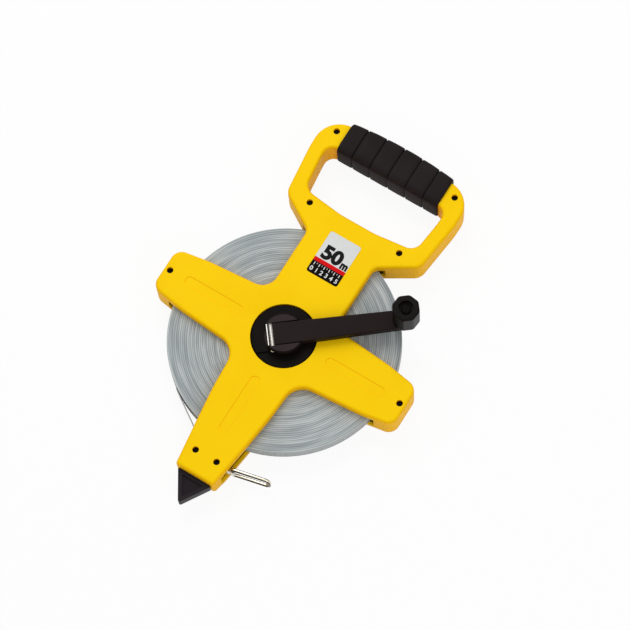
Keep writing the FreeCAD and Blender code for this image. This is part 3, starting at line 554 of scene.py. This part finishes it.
make_label_plate()
make_scale()
make_text("label_length", "50", 17.2 * MM, (LABEL_MIDDLE - 2.4 * MM, RED_TO + 1.9 * MM),
          BLACK_INK, bold=0.90 * MM, squeeze=1.08)
make_text("label_unit", "m", 9.8 * MM, (LABEL_MIDDLE + 11.2 * MM, RED_TO + 1.1 * MM),
          BLACK_INK, bold=0.60 * MM, squeeze=0.90)
for digit in range(DIGITS):
    make_text("label_digit_%d" % digit, str(digit), 5.6 * MM,
              (SCALE_START + DIGIT_STEP * digit, LABEL_LOW.y + 2.2 * MM),
              WHITE_INK, bold=0.14 * MM)


# ------------------------------------------------------------------ grip
def make_grip():
    """Rubber sleeve of six crowned segments with rounded grooves between them."""
    low, high = (Vector(corner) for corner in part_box("handle_grip"))
    half, swell, pitch = high.x, 3.2 * MM, 17.8 * MM
    segments = 6
    grooves = [pitch * k for k in range(-2, 3)]
    deep, shoulder = 1.5 * MM, 1.1 * MM            # of a groove
    tail_deep, tail_long = 0.9 * MM, 1.2 * MM      # rounding at the sleeve's ends
    crown_deep = 0.15 * MM
    crest_round, ridge_round = 6.0 * MM, 7.0 * MM
    wall = 2.1 * MM

    def sunk(x):
        """How far the surface lies below the sleeve's full form at x."""
        near = min(abs(x - g) for g in grooves)
        end = half - abs(x)
        groove = deep * max(0.0, 1 - near / shoulder) ** 1.6
        tail = tail_deep * max(0.0, 1 - end / tail_long) ** 2
        crown = crown_deep * max(0.0, 1 - min(near, end) / (pitch / 2)) ** 2
        return groove + tail + crown

    stations = set()
    for g in grooves:
        for step in (-1.0, -0.7, -0.4, -0.18, 0.0, 0.18, 0.4, 0.7, 1.0):
            stations.add(round(g + step * shoulder, 7))
    for k in range(segments):
        for share in (0.22, 0.35, 0.5, 0.65, 0.78):
            stations.add(round(-half + (half * 2 / segments) * (k + share), 7))
    for step in (0.0, 0.15, 0.4, 0.75, 1.2):
        stations |= {round(-half + step * MM, 7), round(half - step * MM, 7)}

    def section(form, x, inner=False):
        """Rounded outline of the sleeve, or of its bore, at x."""
        sink = sunk(x)
        crest = high.y - swell * (x / half) ** 2
        y0, y1, z0, z1 = low.y + sink * 0.6, crest - sink, low.z + sink, high.z - sink
        over, under = crest_round, ridge_round
        if inner:
            y0, y1, z0, z1 = low.y + wall, crest - wall - deep, low.z + wall, high.z - wall
            over, under = over - wall, under - wall
        corners = [(y1 - over, z1 - over, over), (y0 + under, z1 - under, under),
                   (y0 + under, z0 + under, under), (y1 - over, z0 + over, over)]
        return [form.verts.new((x, y, z)) for y, z in rounded_outline(corners, GRIP_STEPS)]

    def build(form):
        outer = [section(form, x) for x in sorted(stations)]
        inner = [section(form, x, True) for x in (half, -half)]
        loft(form, outer + inner, closed=True)
    sleeve = mesh_piece("grip_sleeve", build, RUBBER, "frame")
    shade_smooth(sleeve)
    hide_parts("handle_grip")


make_grip()


# ------------------------------------------------------------------ end ring
def make_hook_ring():
    """Bent wire loop with smooth corners, in the plane of its hinge bar."""
    wire = HINGE.x - RING_LOW.x
    along = Vector((RING_HIGH.x - HINGE.x, RING_HIGH.y - HINGE.y, 0))
    reach = along.length - wire
    along.normalize()
    flat = Vector((-along.y, along.x, 0))
    up = Vector((0, 0, 1))
    half = (RING_HIGH.z - RING_LOW.z) / 2 - wire
    near_bend, far_bend = 2.4 * MM, 4.2 * MM
    path = rounded_outline([(reach - far_bend, half - far_bend, far_bend),
                            (near_bend, half - near_bend, near_bend),
                            (near_bend, near_bend - half, near_bend),
                            (reach - far_bend, far_bend - half, far_bend)], CORNER_STEPS)

    def build(form):
        rings = []
        for k, (x, z) in enumerate(path):
            before, after = path[k - 1], path[(k + 1) % len(path)]
            heading = along * (after[0] - before[0]) + up * (after[1] - before[1])
            side = heading.normalized().cross(flat).normalized()
            centre = HINGE + along * x + up * z
            turns = (math.tau * n / WIRE_SIDES for n in range(WIRE_SIDES))
            rings.append([form.verts.new(centre + (side * math.cos(t) + flat * math.sin(t)) * wire)
                          for t in turns])
        loft(form, rings, closed=True)
    ring = mesh_piece("hook_ring", build, WIRE_PAINTED_REFLECTION, "ring")
    shade_smooth(ring)
    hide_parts("end_ring")


make_hook_ring()


# ------------------------------------------------------------------ tape run
def make_tape_strip():
    """The free tape between roller and clip, as one straight strip."""
    low, high = (Vector(corner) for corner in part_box("tape_run"))
    half = 0.25 * MM                               # half of the tape's thickness
    across = Vector((-PULL.y, PULL.x, 0))
    start = Vector((low.x, low.y, 0)) + across * half
    end = Vector((high.x, high.y, 0)) - across * half
    run = (end - start).dot(PULL)
    steps, rows = 40, 3

    def build(form):
        rings = []
        for k in range(steps + 1):
            centre = start + PULL * run * k / steps
            ring = []
            for side in (-1, 1):
                place = centre + across * half * side
                for row in range(rows + 1):
                    share = row / rows if side == -1 else 1 - row / rows
                    ring.append(form.verts.new((place.x, place.y,
                                                low.z + (high.z - low.z) * share)))
            rings.append(ring)
        loft(form, rings)
        form.faces.new(rings[0][::-1])
        form.faces.new(rings[-1])
    strip = mesh_piece("tape_strip", build, FACE, None)
    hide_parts("tape_run")
    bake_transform(strip)


make_tape_strip()


# ------------------------------------------------------------------ stage
FLOOR_REACH, FLOOR_LEVEL = 4.0, -0.1 * MM          # just below the back, which rests at 0
FLOOR_COLOUR, FLOOR_ROUGH, FLOOR_SPECULAR = (0.90, 0.90, 0.90, 1), 0.9, 0.1
FLOOR_GLOW = 0.92                                  # share of plain white that seen rays get
SKY_LIGHT, SKY_SEEN = 0.55, 1.0                    # strength as a light, and as seen


def seen_by_ray(tree):
    """1 for rays of the camera, of a reflection or through a clear thing, else 0."""
    path = tree.nodes.new("ShaderNodeLightPath")
    result = path.outputs["Is Camera Ray"]
    for kind in ("Is Glossy Ray", "Is Transmission Ray"):
        either = tree.nodes.new("ShaderNodeMath")
        either.operation = "MAXIMUM"
        tree.links.new(result, either.inputs[0])
        tree.links.new(path.outputs[kind], either.inputs[1])
        result = either.outputs[0]
    return result


def mix_shaders(tree, share, below, above):
    """Lay one surface over another by a share of 0..1."""
    mix = tree.nodes.new("ShaderNodeMixShader")
    tree.links.new(share, mix.inputs["Fac"])
    tree.links.new(below, mix.inputs[1])
    tree.links.new(above, mix.inputs[2])
    return mix.outputs[0]


def make_stage():
    """Pale floor under the reel; it is see-through from below, so that the back shows."""
    floor_mesh = bpy.data.meshes.new("floor")
    corners = [(x * FLOOR_REACH, y * FLOOR_REACH, FLOOR_LEVEL)
               for x, y in ((-1, -1), (1, -1), (1, 1), (-1, 1))]
    floor_mesh.from_pydata(corners, [], [(0, 1, 2, 3)])
    floor = bpy.data.objects.new("floor", floor_mesh)
    bpy.context.collection.objects.link(floor)
    paper = bpy.data.materials.new("paper")
    paper.use_nodes = True
    tree = paper.node_tree
    surface = tree.nodes["Principled BSDF"]
    surface.inputs["Base Color"].default_value = FLOOR_COLOUR
    surface.inputs["Roughness"].default_value = FLOOR_ROUGH
    surface.inputs["Specular IOR Level"].default_value = FLOOR_SPECULAR
    glow = tree.nodes.new("ShaderNodeEmission")
    glow.inputs["Strength"].default_value = 1.0
    share = tree.nodes.new("ShaderNodeMath")
    share.operation = "MULTIPLY"
    share.inputs[1].default_value = FLOOR_GLOW
    tree.links.new(seen_by_ray(tree), share.inputs[0])
    above = mix_shaders(tree, share.outputs[0], surface.outputs[0], glow.outputs[0])
    underside = tree.nodes.new("ShaderNodeNewGeometry").outputs["Backfacing"]
    clear = tree.nodes.new("ShaderNodeBsdfTransparent").outputs[0]
    tree.links.new(mix_shaders(tree, underside, above, clear),
                   tree.nodes["Material Output"].inputs["Surface"])
    floor_mesh.materials.append(paper)


def area_light(name, place, width, power):
    """Square lamp aimed at the reel's axis."""
    data = bpy.data.lights.new(name, "AREA")
    data.shape = "SQUARE"
    data.size = width
    data.energy = power
    lamp = bpy.data.objects.new(name, data)
    lamp.location = place
    lamp.rotation_euler = (-Vector(place)).to_track_quat("-Z", "Y").to_euler()
    bpy.context.collection.objects.link(lamp)


def make_world():
    """Even white surroundings, brighter to the camera than as a light."""
    world = bpy.data.worlds.new("studio")
    world.use_nodes = True
    tree = world.node_tree
    sky = tree.nodes["Background"]
    sky.inputs["Color"].default_value = (1.0, 1.0, 1.0, 1.0)
    level = tree.nodes.new("ShaderNodeMapRange")
    level.inputs["To Min"].default_value = SKY_LIGHT
    level.inputs["To Max"].default_value = SKY_SEEN
    tree.links.new(seen_by_ray(tree), level.inputs["Value"])
    tree.links.new(level.outputs["Result"], sky.inputs["Strength"])
    bpy.context.scene.world = world


CAMERA_TURN = (-32.95854, -14.51917, -11.68308)    # roll, tilt and lean in degrees
CAMERA_PLACE = (26.421, 17.790, 2622.84)           # mm from the front face's middle, own axes
CAMERA_LENS, CAMERA_SENSOR = 177.1, 36.0           # mm
CAMERA_FAR = 50.0                                  # clipping distance in metres


def make_camera():
    """Long lens, tilted 19 degrees off the frame's normal, as the reel is pictured."""
    roll, tilt, lean = (math.radians(angle) for angle in CAMERA_TURN)
    turn = (Matrix.Rotation(roll, 3, "Z") @ Matrix.Rotation(tilt, 3, "X")
            @ Matrix.Rotation(lean, 3, "Y"))
    camera_data = bpy.data.cameras.new("camera")
    camera_data.sensor_width = CAMERA_SENSOR
    camera_data.lens = CAMERA_LENS
    camera_data.clip_end = CAMERA_FAR
    camera = bpy.data.objects.new("camera", camera_data)
    place = turn.transposed() @ (Vector(CAMERA_PLACE) * MM) + Vector((0, 0, FRONT))
    camera.matrix_world = Matrix.Translation(place) @ turn.transposed().to_4x4()
    bpy.context.collection.objects.link(camera)
    bpy.context.scene.camera = camera


make_stage()
make_world()
make_camera()
area_light("key", (-0.9, 0.9, 1.6), width=1.2, power=16.8)
area_light("fill", (1.1, -0.5, 1.3), width=1.4, power=6.0)
bpy.context.scene.view_settings.view_transform = "Standard"
